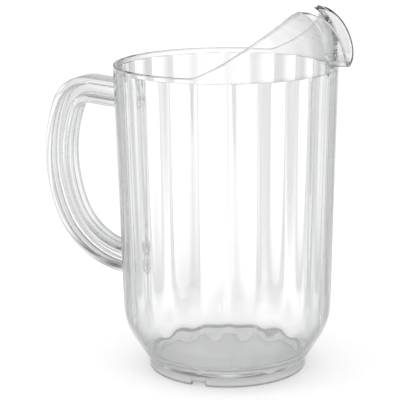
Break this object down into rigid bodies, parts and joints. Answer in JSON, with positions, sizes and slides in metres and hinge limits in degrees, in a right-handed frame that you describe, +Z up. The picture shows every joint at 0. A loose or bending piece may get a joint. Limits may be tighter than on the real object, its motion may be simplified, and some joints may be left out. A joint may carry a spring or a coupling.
{
  "type": "beer pitcher",
  "caption": "Clear moulded beer pitcher with a fluted inner wall, raised front with a pour lip, open I-section handle and foot ring.",
  "frame": {"origin": "on the vessel's axis, in the plane of the foot ring's underside, where the pitcher stands", "axes": "+Z up along the vessel's axis, +X towards the spout, handle towards -X"},
  "size_m": [0.1898, 0.13, 0.214],
  "materials": {
    "clear_plastic": "clear, glossy, as moulded"
  },
  "bodies": {
    "root": {"vessel": "clear_plastic", "pour_lip": "clear_plastic", "foot_ring": "clear_plastic", "handle": "clear_plastic"}
  },
  "joints": []
}
